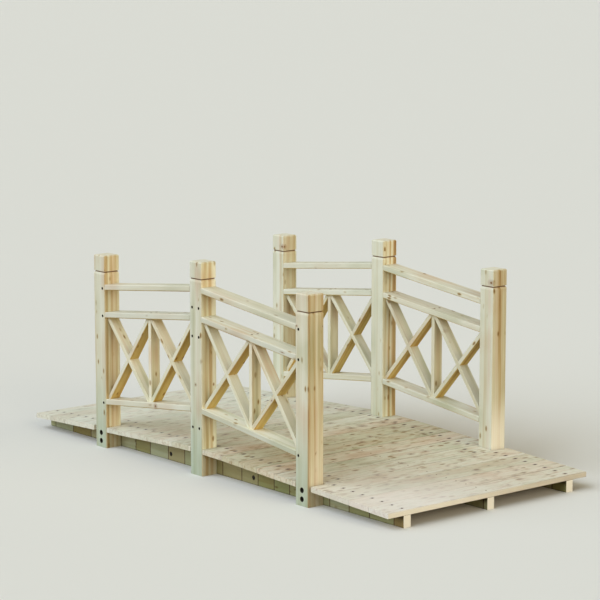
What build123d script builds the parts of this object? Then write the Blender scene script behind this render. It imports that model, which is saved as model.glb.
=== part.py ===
"""Small arched garden footbridge in plain softwood, with a lattice railing on each side.

Frame: the bridge stands on z = 0 with its centre over the origin. X runs along the
walkway, Y across it (the near railing is on the -Y side), Z up. Millimetres.
"""
from build123d import *
from math import asin, atan2, copysign, cos, degrees, hypot, sin, tan
import os

# Overall size of the deck
DECK_LENGTH = 1524.0
DECK_WIDTH = 686.0            # also over the outer faces of the posts

# Posts: three on each side
POST_SIZE = 50.0
POST_EDGE_RADIUS = 2.5
END_POST_HEIGHT = 540.0
MIDDLE_POST_HEIGHT = 571.0
POST_SPACING = 437.0          # centre of the middle post to centre of an end post

# Grooved head of each post
CAP_HEIGHT = 45.0
CAP_TOP_CHAMFER = 3.0
CAP_UNDERCUT = 4.0
CAP_LIP = 1.5
SHOULDER_HEIGHT = 9.0
SHOULDER_BULGE = 0.8          # how far the shoulder's curve stands off a straight bevel

# Holes in the outer faces of the posts
SCREW_HOLE_DIAMETER = 7.0
SCREW_HOLE_DEPTH = 8.0
SCREW_HOLE_SPACING = 28.0     # between the two holes of a middle post
SCREW_BELOW_RAIL = 3.5        # under the middle of the rail's end at an end post
BOLT_POCKET_DIAMETER = 14.0
BOLT_POCKET_DEPTH = 16.0
BOLT_HEIGHTS = (18.0, 41.0)

# Stringers: three boards on edge, whose top climbs straight to a rounded crown
STRINGER_THICKNESS = 23.0
STRINGER_END_HEIGHT = 30.7
ARCH_RISE = 29.0
CROWN_LENGTH = 260.0          # of the rounded part, along the bridge

# Cross braces between the stringers
BRACE_SPACING = 360.0         # between the two braces, along the bridge
BRACE_WIDTH = 22.0
BRACE_HEIGHT = 36.0
BRACE_BOLT_DIAMETER = 12.0
BRACE_BOLT_DEPTH = 8.0

# Deck planks, laid across the stringers
PLANK_COUNT = 21
PLANK_THICKNESS = 13.3
PLANK_GAP = 0.8
PLANK_EDGE_BEVEL = 0.6
PLANKS_PER_NODE = 3
NOTCH_CLEARANCE = 1.5         # round a post where a plank is cut out for it
NARROWEST_PRONG = 9.0         # a thinner prong beside a notch is cut away

# Rails: flat boards that slope down from the middle post
RAIL_THICKNESS = 16.0
RAIL_EDGE_BEVEL = 2.0
RAIL_BELOW_MIDDLE_HEAD = 74.5  # top of the middle post to the middle of the top rail
RAIL_BELOW_END_HEAD = 87.5     # the same at an end post
HAND_GAP = 76.8               # top rail to middle rail
LATTICE_GAP = 244.4           # middle rail to bottom rail

# Lattice: an upright in each bay with crossed slats on both sides of it
SLAT_THICKNESS = 12.0
SLAT_DEPTH = 30.0
SLAT_EDGE_BEVEL = 1.0
LAP_CLEARANCE = 0.1

HALF_POST = POST_SIZE / 2
BAY_START = HALF_POST
BAY_END = POST_SPACING - HALF_POST
BAY_LENGTH = BAY_END - BAY_START
BAY_MIDDLE = (BAY_START + BAY_END) / 2
OUTER_FACE = DECK_WIDTH / 2
RAILING_OFFSET = OUTER_FACE - HALF_POST
INNER_FACE = OUTER_FACE - POST_SIZE
STRINGER_HALF_LENGTH = DECK_LENGTH / 2
TOP_RAIL_HEIGHT = MIDDLE_POST_HEIGHT - RAIL_BELOW_MIDDLE_HEAD
MIDDLE_RAIL_HEIGHT = TOP_RAIL_HEIGHT - HAND_GAP
BOTTOM_RAIL_HEIGHT = MIDDLE_RAIL_HEIGHT - LATTICE_GAP
RAIL_DROP = TOP_RAIL_HEIGHT - (END_POST_HEIGHT - RAIL_BELOW_END_HEAD)
ARCH_TOP = STRINGER_END_HEIGHT + ARCH_RISE
FLANK_ANGLE = atan2(ARCH_RISE, STRINGER_HALF_LENGTH - CROWN_LENGTH / 4)
CROWN_RADIUS = CROWN_LENGTH / 2 / sin(FLANK_ANGLE)
PLANK_PITCH = DECK_LENGTH / PLANK_COUNT
SIDES = {"near": -1, "far": 1}
ENDS = {"left": -1, "right": 1}
RAILS = {"top": TOP_RAIL_HEIGHT, "middle": MIDDLE_RAIL_HEIGHT, "bottom": BOTTOM_RAIL_HEIGHT}


def mirrored(shape, end):
    """The shape as built for the right-hand end, or its mirror image for the left."""
    return shape if end > 0 else mirror(shape, about=Plane.YZ)


def hole(x, y, z, side, diameter, depth):
    """A blind hole into a face that looks out to the given side."""
    outwards = Vector(0, side, 0)
    start = Plane(origin=(x, y, z), z_dir=-outwards)
    return extrude(start * Circle(diameter / 2), amount=depth)


def bevelled(width, height, bevel):
    """The end section of a board whose four long edges are eased."""
    section = Rectangle(width, height)
    return chamfer(section.vertices(), bevel)


def post_outline(height):
    """Half-plane outline of a post: chamfered top, undercut cap, rounded shoulder."""
    half = HALF_POST
    neck = half - CAP_UNDERCUT
    cap_base = height - CAP_HEIGHT
    shoulder = cap_base - SHOULDER_HEIGHT
    edges = Polyline(
        (0, 0),
        (half, 0),
        (half, shoulder),
    )
    edges += SagittaArc((half, shoulder), (neck, cap_base), -SHOULDER_BULGE)
    edges += Polyline(
        (neck, cap_base),
        (half, cap_base + CAP_LIP),
        (half, height - CAP_TOP_CHAMFER),
        (half - CAP_TOP_CHAMFER, height),
        (0, height),
        (0, 0),
    )
    return make_face(Plane.XZ * edges)


def post(height):
    """A post that stands over the origin, shaped alike on all four sides."""
    half_face = post_outline(height)
    face = half_face + mirror(half_face, about=Plane.YZ)
    along_y = extrude(face, amount=HALF_POST, both=True)
    along_x = along_y.rotate(Axis.Z, 90)
    blank = extrude(RectangleRounded(POST_SIZE, POST_SIZE, POST_EDGE_RADIUS), amount=height)
    return blank & along_y & along_x


def screw_heights():
    """Heights of the screw holes: every post is drilled as the end posts are."""
    return [height - RAIL_DROP - SCREW_BELOW_RAIL for height in RAILS.values()]


def end_post(side, end):
    """An end post with its screw holes and the two pockets of the stringer's bolts."""
    y = side * RAILING_OFFSET
    body = Pos(POST_SPACING, y, 0) * post(END_POST_HEIGHT)
    x = POST_SPACING - SCREW_HOLE_SPACING / 2
    for z in screw_heights():
        body -= hole(x, side * OUTER_FACE, z, side, SCREW_HOLE_DIAMETER, SCREW_HOLE_DEPTH)
    for z in BOLT_HEIGHTS:
        body -= hole(POST_SPACING, side * OUTER_FACE, z, side, BOLT_POCKET_DIAMETER, BOLT_POCKET_DEPTH)
    return mirrored(body, end)


def middle_post(side):
    """A middle post, with a pair of screw holes at each height."""
    body = Pos(0, side * RAILING_OFFSET, 0) * post(MIDDLE_POST_HEIGHT)
    for z in screw_heights():
        for x in (-SCREW_HOLE_SPACING / 2, SCREW_HOLE_SPACING / 2):
            body -= hole(x, side * OUTER_FACE, z, side, SCREW_HOLE_DIAMETER, SCREW_HOLE_DEPTH)
    return body


def seat(x):
    """Height of the stringers' top at x, and its slope there in degrees."""
    if abs(x) < CROWN_LENGTH / 2:
        slope = asin(x / CROWN_RADIUS)
        return ARCH_TOP - CROWN_RADIUS * (1 - cos(slope)), degrees(slope)
    crown_edge = ARCH_TOP - CROWN_RADIUS * (1 - cos(FLANK_ANGLE))
    drop = (abs(x) - CROWN_LENGTH / 2) * tan(FLANK_ANGLE)
    return crown_edge - drop, degrees(copysign(FLANK_ANGLE, x))


def stringer(y):
    """One board on edge: flat below, two straight flanks and a rounded crown above."""
    crown_end = CROWN_LENGTH / 2
    crown_edge, _ = seat(crown_end)
    flank_end, _ = seat(STRINGER_HALF_LENGTH)
    crown = ThreePointArc((-crown_end, crown_edge), (0, ARCH_TOP), (crown_end, crown_edge))
    rest = Polyline(
        (crown_end, crown_edge),
        (STRINGER_HALF_LENGTH, flank_end),
        (STRINGER_HALF_LENGTH, 0),
        (-STRINGER_HALF_LENGTH, 0),
        (-STRINGER_HALF_LENGTH, flank_end),
        (-crown_end, crown_edge),
    )
    face = make_face(Plane.XZ * (crown + rest))
    return Pos(0, y, 0) * extrude(face, amount=STRINGER_THICKNESS / 2, both=True)


def outer_stringer(side):
    """A stringer that lies against the posts, drilled for the bolts of the cross braces."""
    body = stringer(side * (INNER_FACE - STRINGER_THICKNESS / 2))
    for x in (-BRACE_SPACING / 2, BRACE_SPACING / 2):
        z = BRACE_HEIGHT / 2
        body -= hole(x, side * INNER_FACE, z, side, BRACE_BOLT_DIAMETER, BRACE_BOLT_DEPTH)
    return body


def cross_brace(end):
    """Two blocks in line, one on each side of the middle stringer."""
    inner = STRINGER_THICKNESS / 2
    outer = INNER_FACE - STRINGER_THICKNESS
    block = Box(
        BRACE_WIDTH,
        outer - inner,
        BRACE_HEIGHT,
        align=(Align.CENTER, Align.MIN, Align.MIN),
    )
    x = end * BRACE_SPACING / 2
    near = Pos(x, -outer, 0) * block
    far = Pos(x, inner, 0) * block
    return [near, far]


def plank(index):
    """One plank, laid along the slope of the stringers, cut out where it meets a post."""
    width = PLANK_PITCH - PLANK_GAP
    centre = index * PLANK_PITCH
    low = centre - width / 2
    high = centre + width / 2
    section = bevelled(width, PLANK_THICKNESS, PLANK_EDGE_BEVEL)
    board = extrude(Plane.XZ * section, amount=OUTER_FACE, both=True)
    height, slope = seat(centre)
    board = Rot(0, slope, 0) * (Pos(0, 0, PLANK_THICKNESS / 2) * board)
    board = Pos(centre, 0, height) * board
    for post_x in (-POST_SPACING, 0, POST_SPACING):
        start = post_x - HALF_POST - NOTCH_CLEARANCE
        stop = post_x + HALF_POST + NOTCH_CLEARANCE
        if stop <= low or start >= high:
            continue
        if start - low < NARROWEST_PRONG:
            start = low - PLANK_THICKNESS
        if high - stop < NARROWEST_PRONG:
            stop = high + PLANK_THICKNESS
        inner = INNER_FACE - NOTCH_CLEARANCE
        notch = Box(
            stop - start,
            OUTER_FACE,
            2 * ARCH_TOP + PLANK_THICKNESS,
            align=(Align.MIN, Align.MIN, Align.MIN),
        )
        board -= Pos(start, inner, 0) * notch
        board -= Pos(start, -inner - OUTER_FACE, 0) * notch
    return board


def rail_height(height, x):
    """Middle height of a rail over the point x of the right-hand bay."""
    return height - RAIL_DROP * (x - BAY_START) / BAY_LENGTH


def rail(height, side, end):
    """A flat board as wide as the posts, cut upright at both ends to meet them."""
    start = Plane(origin=(BAY_START, side * RAILING_OFFSET, height), x_dir=(0, 1, 0), z_dir=(1, 0, 0))
    section = bevelled(POST_SIZE, RAIL_THICKNESS, RAIL_EDGE_BEVEL)
    length = hypot(BAY_LENGTH, RAIL_DROP)
    body = extrude(start * section, amount=length, dir=(BAY_LENGTH, 0, -RAIL_DROP))
    return mirrored(body, end)


def lattice_window(x_start, x_stop):
    """The opening between two uprights, under the middle rail and over the bottom rail."""
    corners = []
    for x, height, step in (
        (x_start, BOTTOM_RAIL_HEIGHT, 1),
        (x_stop, BOTTOM_RAIL_HEIGHT, 1),
        (x_stop, MIDDLE_RAIL_HEIGHT, -1),
        (x_start, MIDDLE_RAIL_HEIGHT, -1),
    ):
        corners.append((x, rail_height(height, x) + step * RAIL_THICKNESS / 2))
    return corners


def window_solid(corners, side):
    """The space inside a lattice opening, as deep as the railing."""
    face = make_face(Plane.XZ * Polyline(*corners, close=True))
    return Pos(0, side * RAILING_OFFSET, 0) * extrude(face, amount=POST_SIZE, both=True)


def strip(first, second, side, depth, thickness):
    """A straight slat that runs well past two points of the lattice plane."""
    (x1, z1), (x2, z2) = first, second
    angle = degrees(atan2(z2 - z1, x2 - x1))
    middle = ((x1 + x2) / 2, side * RAILING_OFFSET, (z1 + z2) / 2)
    section = bevelled(depth, thickness, SLAT_EDGE_BEVEL)
    start = Plane(origin=(0, 0, 0), x_dir=(0, 1, 0), z_dir=(1, 0, 0))
    length = hypot(x2 - x1, z2 - z1)
    body = extrude(start * section, amount=length, both=True)
    return Pos(*middle) * (Rot(0, -angle, 0) * body)


def upright(side, end):
    """The short upright slat in the middle of a bay."""
    half = SLAT_THICKNESS / 2
    window = window_solid(lattice_window(BAY_MIDDLE - half, BAY_MIDDLE + half), side)
    foot = (BAY_MIDDLE, BOTTOM_RAIL_HEIGHT)
    head = (BAY_MIDDLE, MIDDLE_RAIL_HEIGHT)
    return mirrored(strip(foot, head, side, SLAT_DEPTH, SLAT_THICKNESS) & window, end)


def crossed_slats(x_start, x_stop, side, end):
    """Two slats from corner to corner of an opening, halved into each other."""
    corners = lattice_window(x_start, x_stop)
    window = window_solid(corners, side)
    low_start, low_stop, high_stop, high_start = corners
    rising = strip(low_start, high_stop, side, SLAT_DEPTH, SLAT_THICKNESS)
    falling = strip(high_start, low_stop, side, SLAT_DEPTH, SLAT_THICKNESS)
    half = Box(
        2 * BAY_LENGTH,
        SLAT_DEPTH,
        2 * MIDDLE_RAIL_HEIGHT,
        align=(Align.CENTER, Align.MIN, Align.CENTER),
    )
    crossing = Pos((x_start + x_stop) / 2, side * RAILING_OFFSET, MIDDLE_RAIL_HEIGHT / 2)
    far_half = crossing * half
    near_half = crossing * mirror(half, about=Plane.XZ)
    # The slat that comes down towards +X is the whole one in the near half, in every bay.
    rising_half, falling_half = (far_half, near_half) if end > 0 else (near_half, far_half)
    wide = SLAT_THICKNESS + 2 * LAP_CLEARANCE
    rising_slot = strip(low_start, high_stop, side, 2 * SLAT_DEPTH, wide) & rising_half
    falling_slot = strip(high_start, low_stop, side, 2 * SLAT_DEPTH, wide) & falling_half
    rising_slat = (rising - falling_slot) & window
    falling_slat = (falling - rising_slot) & window
    return mirrored(rising_slat, end), mirrored(falling_slat, end)


def save(name, shape):
    export_step(shape, f"parts/{name}.step")


def main():
    os.makedirs("parts", exist_ok=True)
    half = SLAT_THICKNESS / 2
    halves = {"inner": (BAY_START, BAY_MIDDLE - half), "outer": (BAY_MIDDLE + half, BAY_END)}

    for side_name, side in SIDES.items():
        save(f"post_{side_name}_middle", middle_post(side))
        save(f"stringer_{side_name}", outer_stringer(side))
        for end_name, end in ENDS.items():
            bay = f"{side_name}_{end_name}"
            save(f"post_{bay}", end_post(side, end))
            save(f"lattice_upright_{bay}", upright(side, end))
            for rail_name, height in RAILS.items():
                save(f"{rail_name}_rail_{bay}", rail(height, side, end))
            for half_name, (x_start, x_stop) in halves.items():
                rising, falling = crossed_slats(x_start, x_stop, side, end)
                save(f"rising_slat_{bay}_{half_name}", rising)
                save(f"falling_slat_{bay}_{half_name}", falling)

    save("stringer_middle", stringer(0))
    for end_name, end in ENDS.items():
        save(f"cross_brace_{end_name}", Compound(children=cross_brace(end)))

    last = PLANK_COUNT // 2
    planks = [plank(index) for index in range(-last, last + 1)]
    groups = range(0, len(planks), PLANKS_PER_NODE)
    for number, first in enumerate(groups, start=1):
        boards = planks[first:first + PLANKS_PER_NODE]
        save(f"deck_planks_{number}", Compound(children=boards))


main()
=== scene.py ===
# %% [markdown]
# A small arched wooden footbridge
#
# The real bridge is a kit of planed softwood boards: six square posts with a
# grooved head, sloping rails, a lattice of thin crossed slats and a deck of 21
# planks nailed across three arched boards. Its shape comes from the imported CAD
# model, which is loaded first and never changed. This script adds what CAD
# leaves out: the grain of every board, the nails, screws and bolts, the light
# and the camera. Everything is in metres, in the CAD model's own frame.

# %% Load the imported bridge
import math
import random

import bpy
import numpy as np
from mathutils import Matrix, Vector


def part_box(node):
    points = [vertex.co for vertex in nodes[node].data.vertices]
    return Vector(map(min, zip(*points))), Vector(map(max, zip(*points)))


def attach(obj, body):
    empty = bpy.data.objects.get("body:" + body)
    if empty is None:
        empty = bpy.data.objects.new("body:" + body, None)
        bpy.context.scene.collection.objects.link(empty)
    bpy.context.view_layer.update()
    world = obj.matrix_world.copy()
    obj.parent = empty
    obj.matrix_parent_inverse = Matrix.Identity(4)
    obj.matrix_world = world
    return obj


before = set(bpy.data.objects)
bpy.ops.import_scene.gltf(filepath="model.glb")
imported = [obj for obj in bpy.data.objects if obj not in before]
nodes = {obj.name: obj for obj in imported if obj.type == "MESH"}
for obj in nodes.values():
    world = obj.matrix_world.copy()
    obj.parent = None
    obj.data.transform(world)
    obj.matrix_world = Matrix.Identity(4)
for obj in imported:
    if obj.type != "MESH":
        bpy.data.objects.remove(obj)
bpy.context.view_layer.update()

MM = 0.001

# %% [markdown]
# The camera
#
# The photograph was taken from the front right corner, a little above the
# handrails, with a long lens. The values below were solved from the posts, the
# rails and the deck's corners: the camera stands 6.6 m away, looks along a yaw
# of 50 degrees and dips 9 degrees. A lens is easier to compare with a real one
# than an angle of view, so the focal length is given in millimetres.

# %% Camera
CAMERA_PLACE = (4.9256, -4.0761, 1.4772)
CAMERA_YAW = math.radians(50.297)
CAMERA_PITCH = math.radians(9.268)
CAMERA_LENS = 143.37
SENSOR = 36.0

camera_data = bpy.data.cameras.new("camera")
camera_data.lens = CAMERA_LENS
camera_data.sensor_width = SENSOR
camera_data.clip_start = 0.1
camera_data.clip_end = 200.0
camera = bpy.data.objects.new("camera", camera_data)
camera.location = CAMERA_PLACE
camera.rotation_euler = (math.radians(90) - CAMERA_PITCH, 0.0, CAMERA_YAW)
bpy.context.scene.collection.objects.link(camera)
bpy.context.scene.camera = camera
print("camera", CAMERA_LENS, "mm, from", CAMERA_PLACE)

# %% [markdown]
# Small helpers for node trees
#
# A material in Blender is a graph of nodes. Wiring it by hand takes several
# lines a node, so a few helpers do it. `add` makes a node and fills its inputs
# with numbers or with wires from other nodes. `sums`, `vector` and their kin do
# arithmetic, `fade` carries one range of values softly over to another, and
# `glaze` lays a thin tint over a colour.

# %% Node helpers
def linear(red, green, blue):
    """A screen colour, 0 to 255, as the shader's linear values."""
    def channel(value):
        value = value / 255
        return value / 12.92 if value <= 0.04045 else ((value + 0.055) / 1.055) ** 2.4
    return (channel(red), channel(green), channel(blue), 1.0)


def fill(tree, node, inputs):
    """Gives a node's inputs, each by name or number, a value or a wire."""
    for socket, value in inputs.items():
        if isinstance(value, bpy.types.NodeSocket):
            tree.links.new(value, node.inputs[socket])
        else:
            node.inputs[socket].default_value = value


def add(tree, kind, inputs=None, **settings):
    """Makes a node and fills its inputs."""
    made = tree.nodes.new("ShaderNode" + kind)
    for setting, value in settings.items():
        setattr(made, setting, value)
    fill(tree, made, inputs or {})
    return made


def sums(tree, operation, *values, clamp=False):
    """A Math node's result, such as sums(tree, "MAXIMUM", a, b)."""
    inputs = dict(enumerate(values))
    return add(tree, "Math", inputs, operation=operation, use_clamp=clamp).outputs[0]


def maths(operation):
    """A helper for one kind of arithmetic, such as plus(tree, a, b)."""
    return lambda tree, *values: sums(tree, operation, *values)


plus, minus, times = maths("ADD"), maths("SUBTRACT"), maths("MULTIPLY")
times_plus, unsigned = maths("MULTIPLY_ADD"), maths("ABSOLUTE")


def vector(tree, operation, *values, out=0):
    """A Vector Math node's result; out=1 where it is a number."""
    inputs = dict(enumerate(values))
    return add(tree, "VectorMath", inputs, operation=operation).outputs[out]


def fade(tree, value, low, high, to_low=0.0, to_high=1.0):
    """Smoothly carries value from low..high to to_low..to_high."""
    inputs = {0: value, 1: low, 2: high, 3: to_low, 4: to_high}
    return add(tree, "MapRange", inputs, interpolation_type="SMOOTHSTEP").outputs[0]


def blend_colours(tree, amount, first, second, how="MIX"):
    """A Mix node for colours."""
    inputs = {0: amount, 6: first, 7: second}
    return add(tree, "Mix", inputs, data_type="RGBA", blend_type=how).outputs[2]


def glaze(tree, colour, amount, tint):
    """Multiplies a colour by a tint, by a share from 0 to 1."""
    return blend_colours(tree, amount, colour, tint, "MULTIPLY")


print("node helpers ready")

# %% Helpers for places and chance
NOISE_RANGE = (0.28, 0.72)  # nearly all of Blender's noise lies between these


def object_place(tree):
    """Where a point lies, in the piece's own coordinates."""
    return add(tree, "TexCoord").outputs["Object"]


def axes_of(tree, place):
    """The X, Y and Z of a vector, each on its own."""
    return add(tree, "SeparateXYZ", {0: place}).outputs


def joined(tree, x=0.0, y=0.0, z=0.0):
    """A vector made of three values."""
    return add(tree, "CombineXYZ", {0: x, 1: y, 2: z}).outputs[0]


def draws(tree, cells):
    """Three random numbers for each cell, read from its random colour."""
    return add(tree, "SeparateColor", {0: cells.outputs["Color"]}).outputs


def noise(tree, where, scale, detail=2.0, roughness=0.5):
    """Soft random values that fill 0 to 1, `scale` waves a metre."""
    inputs = {"Vector": where, "Scale": scale, "Detail": detail, "Roughness": roughness}
    made = add(tree, "TexNoise", inputs).outputs["Fac"]
    return add(tree, "MapRange", {0: made, 1: NOISE_RANGE[0], 2: NOISE_RANGE[1]}).outputs[0]


def start_material(name):
    """An empty material with its shader, ready for wiring."""
    material = bpy.data.materials.new(name)
    material.use_nodes = True
    return material, material.node_tree, material.node_tree.nodes["Principled BSDF"]


print("helpers for places and chance ready")

# %% [markdown]
# Floor and light
#
# The bridge is shown on a plain pale floor in soft studio light. Suns with a
# very wide angle act as endless softboxes: they light the floor evenly and
# give soft shadows. The key comes from the front left and above, a weaker warm
# one from the right. The Light Path node tells what the camera sees from what
# only lights other surfaces. With it the floor looks pale but gives back less
# light than it shows, so that the undersides of the boards stay dark and warm.

# %% Floor
FLOOR_RADIUS = 60.0
FLOOR_GAP = 0.2 * MM  # between the floor and the bridge's feet
FLOOR_COLOUR = linear(232, 231, 226)
FLOOR_BOUNCE = linear(126, 102, 50)


def seen_directly(tree):
    """1 for what the camera or a reflection sees, 0 for light on its way."""
    rays = add(tree, "LightPath").outputs
    return sums(tree, "MAXIMUM", rays["Is Camera Ray"], rays["Is Glossy Ray"])


bpy.ops.mesh.primitive_circle_add(
    vertices=64, radius=FLOOR_RADIUS, fill_type="NGON", location=(0, 0, -FLOOR_GAP),
)
floor = bpy.context.object
floor.name = "floor"
floor_material, tree, shader = start_material("floor")
shown = blend_colours(tree, seen_directly(tree), FLOOR_BOUNCE, FLOOR_COLOUR)
fill(tree, shader, {"Base Color": shown, "Roughness": 0.9, "Specular IOR Level": 0.1})
floor.data.materials.append(floor_material)
print("floor ready, radius", FLOOR_RADIUS, "m")

# %% Lights
AMBIENT_COLOUR = (1.0, 0.94, 0.74, 1.0)
AMBIENT_STRENGTH = 0.30


def sun(name, strength, colour, azimuth, elevation, spread):
    """A soft light, turned in degrees: azimuth 0 is the near side, 90 the right-hand end."""
    data = bpy.data.lights.new(name, "SUN")
    data.energy = strength
    data.color = colour
    data.angle = math.radians(spread)
    lamp = bpy.data.objects.new(name, data)
    a, e = math.radians(azimuth), math.radians(elevation)
    towards = Vector((math.sin(a) * math.cos(e), -math.cos(a) * math.cos(e), math.sin(e)))
    lamp.rotation_euler = towards.to_track_quat("Z", "Y").to_euler()
    bpy.context.scene.collection.objects.link(lamp)
    print("sun", name, "from azimuth", azimuth, "and elevation", elevation)


sun("key", strength=2.50, colour=(0.89, 1.01, 1.15), azimuth=-15, elevation=36, spread=70)
sun("fill", strength=2.30, colour=(1.0, 0.88, 0.64), azimuth=92, elevation=8, spread=60)

world = bpy.data.worlds.new("studio")
bpy.context.scene.world = world
world.use_nodes = True
tree = world.node_tree
tree.nodes.clear()
ambient = add(tree, "Background", {"Color": AMBIENT_COLOUR, "Strength": AMBIENT_STRENGTH})
backdrop = add(tree, "Background", {"Color": FLOOR_COLOUR, "Strength": 1.0})
either = {0: seen_directly(tree), 1: ambient.outputs[0], 2: backdrop.outputs[0]}
add(tree, "OutputWorld", {"Surface": add(tree, "MixShader", either).outputs[0]})

bpy.context.scene.view_settings.view_transform = "Standard"
print("world ready, ambient strength", AMBIENT_STRENGTH)

# %% [markdown]
# How wood grain is drawn
#
# A board is a straight cut out of a tree, so its grain can be drawn as the tree
# made it: the rings are long tubes round the pith. Each board gets its own
# frame, with X along the grain, and its own pith, a few centimetres off. The
# distance from that pith gives the rings. Where a face cuts them at a flat
# angle they spread into wide bands, and where it cuts them squarely they are
# fine lines. Slow noise bends the rings, and stretched noise makes the fibres.

# %% A board's own frame
def board_space(tree, centre, along, across):
    """Object coordinates as the board's own, in metres: X along the grain, Y across."""
    along = Vector(along).normalized()
    third = along.cross(Vector(across)).normalized()
    across = third.cross(along).normalized()
    turn = Matrix((along, across, third))
    inputs = {
        "Vector": object_place(tree),
        "Location": tuple(-(turn @ Vector(centre))),
        "Rotation": tuple(turn.to_euler("XYZ")),
    }
    return add(tree, "Mapping", inputs, vector_type="POINT").outputs[0]


def drawn_out(tree, place, share):
    """A place that moves on more slowly along the grain, which draws a pattern out."""
    return vector(tree, "MULTIPLY", place, (share, 1.0, 1.0))


print("a board's frame ready")

# %% [markdown]
# Knots and flecks
#
# A knot is a branch that runs straight out from the pith, so its place is given
# by the length along the board and the angle round the pith. A Voronoi texture
# deals out such places, one for each cell, with random numbers that say whether
# the cell has a knot and how wide it is. The dark flecks between the knots are
# dealt out in the same way, each with a faint glow in the wood round it.

# %% Knots and flecks
FLECK_CELLS = 95.0  # places for a fleck in a metre
FLECK_STRETCH = 0.45
FLECK_EDGE = (0.42, 0.15)  # from nothing to full, in widths of a cell
GLOW_EDGE = (0.55, 0.20)
KNOT_CELLS = 8.0  # places for a knot in a metre
KNOT_LEAST = 1.6 * MM  # radius of the smallest
KNOT_MORE = 4.0 * MM  # and what chance adds to it
KNOT_EDGE = (1.0, 0.55)  # from nothing to full, in radii of the knot
HALO_EDGE = (3.6, 0.8)
NO_KNOT = 0.01 * MM  # keeps the division sound in an empty cell
PAST_MIDDLE = 20 * MM  # about how far a board's faces lie from its middle


def flecks_in(tree, place, share, cells):
    """Flecks and the glow round them, in that share of the cells."""
    inputs = {"Vector": drawn_out(tree, place, FLECK_STRETCH), "Scale": cells}
    spots = add(tree, "TexVoronoi", inputs)
    present = fade(tree, draws(tree, spots)[0], share, 0.2 * share)
    away = spots.outputs["Distance"]
    fleck = times(tree, fade(tree, away, *FLECK_EDGE), present)
    glow = times(tree, fade(tree, away, *GLOW_EDGE), present)
    return fleck, glow


def knots_in(tree, from_pith, pith, lot, share, size, cells):
    """Knots and the halo round them, in that share of the cells."""
    along, side, up = axes_of(tree, from_pith)
    face_radius = math.hypot(*pith) + PAST_MIDDLE
    around = times(tree, sums(tree, "ARCTAN2", side, up), face_radius)
    unrolled = vector(tree, "ADD", joined(tree, along, around), lot)
    inputs = {"Vector": unrolled, "Scale": cells}
    spots = add(tree, "TexVoronoi", inputs, voronoi_dimensions="2D")
    luck, growth = draws(tree, spots)[:2]
    away = sums(tree, "DIVIDE", spots.outputs["Distance"], cells)
    radius = times_plus(tree, growth, KNOT_MORE * size, KNOT_LEAST * size)
    radius = times(tree, radius, sums(tree, "LESS_THAN", luck, share))
    reach = sums(tree, "DIVIDE", away, plus(tree, radius, NO_KNOT))
    return fade(tree, reach, *KNOT_EDGE), fade(tree, reach, *HALO_EDGE)


print("knots and flecks ready")

# %% Grain of one board
RING_SPACING = 4.2 * MM
RING_DARKENS = (0.15, 0.82)  # late wood comes slowly, in shares of a ring
RING_ENDS = (1.0, 0.86)  # and stops short at the winter
WAVE_SCALE, WAVE = 16.0, 8 * MM  # how often and how far the rings are bent
KNOT_PUSH = 6 * MM  # how far a knot pushes the rings aside
YEARS_SCALE = 75.0  # good and poor years in a metre of radius
BAND_STRETCH, BAND_SCALE = 0.08, 60.0
FIBRE_STRETCH, FIBRE_SCALE = 0.018, 820.0
PATCH_SCALE = 7.0


def grain(
    tree, place, pith, lot,
    knots=0.4, knot_size=0.8, knot_cells=KNOT_CELLS, flecks=0.1, fleck_cells=FLECK_CELLS,
):
    """Values from 0 to 1 for each kind of mark in the wood, by name."""
    shifted = vector(tree, "ADD", place, lot)
    slow = drawn_out(tree, shifted, BAND_STRETCH)
    fleck, glow = flecks_in(tree, shifted, flecks, fleck_cells)
    from_pith = vector(tree, "ADD", place, (0.0, -pith[0], -pith[1]))
    knot, halo = knots_in(tree, from_pith, pith, lot, knots, knot_size, knot_cells)

    radius = vector(tree, "LENGTH", vector(tree, "MULTIPLY", from_pith, (0.0, 1.0, 1.0)), out=1)
    wave = minus(tree, noise(tree, slow, WAVE_SCALE), 0.5)
    bent = times_plus(tree, wave, WAVE, radius)
    bent = times_plus(tree, halo, KNOT_PUSH, bent)
    ring = sums(tree, "FRACT", sums(tree, "DIVIDE", bent, RING_SPACING))
    late, winter = fade(tree, ring, *RING_DARKENS), fade(tree, ring, *RING_ENDS)
    year = vector(tree, "MULTIPLY", vector(tree, "ADD", joined(tree, bent), lot), (1.0, 0.0, 0.0))
    other_year = vector(tree, "ADD", year, (4.0, 2.0, 0.0))
    return {
        "rings": times(tree, late, winter),
        "years": noise(tree, year, YEARS_SCALE, detail=1.0),
        "hue": noise(tree, other_year, 0.8 * YEARS_SCALE, detail=1.0),
        "bands": noise(tree, slow, BAND_SCALE),
        "fibres": noise(tree, drawn_out(tree, shifted, FIBRE_STRETCH), FIBRE_SCALE, roughness=0.6),
        "patches": noise(tree, shifted, PATCH_SCALE, detail=1.0),
        "knot": knot, "halo": halo, "fleck": fleck, "glow": glow,
    }


print("grain ready, rings every", RING_SPACING / MM, "mm")
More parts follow.
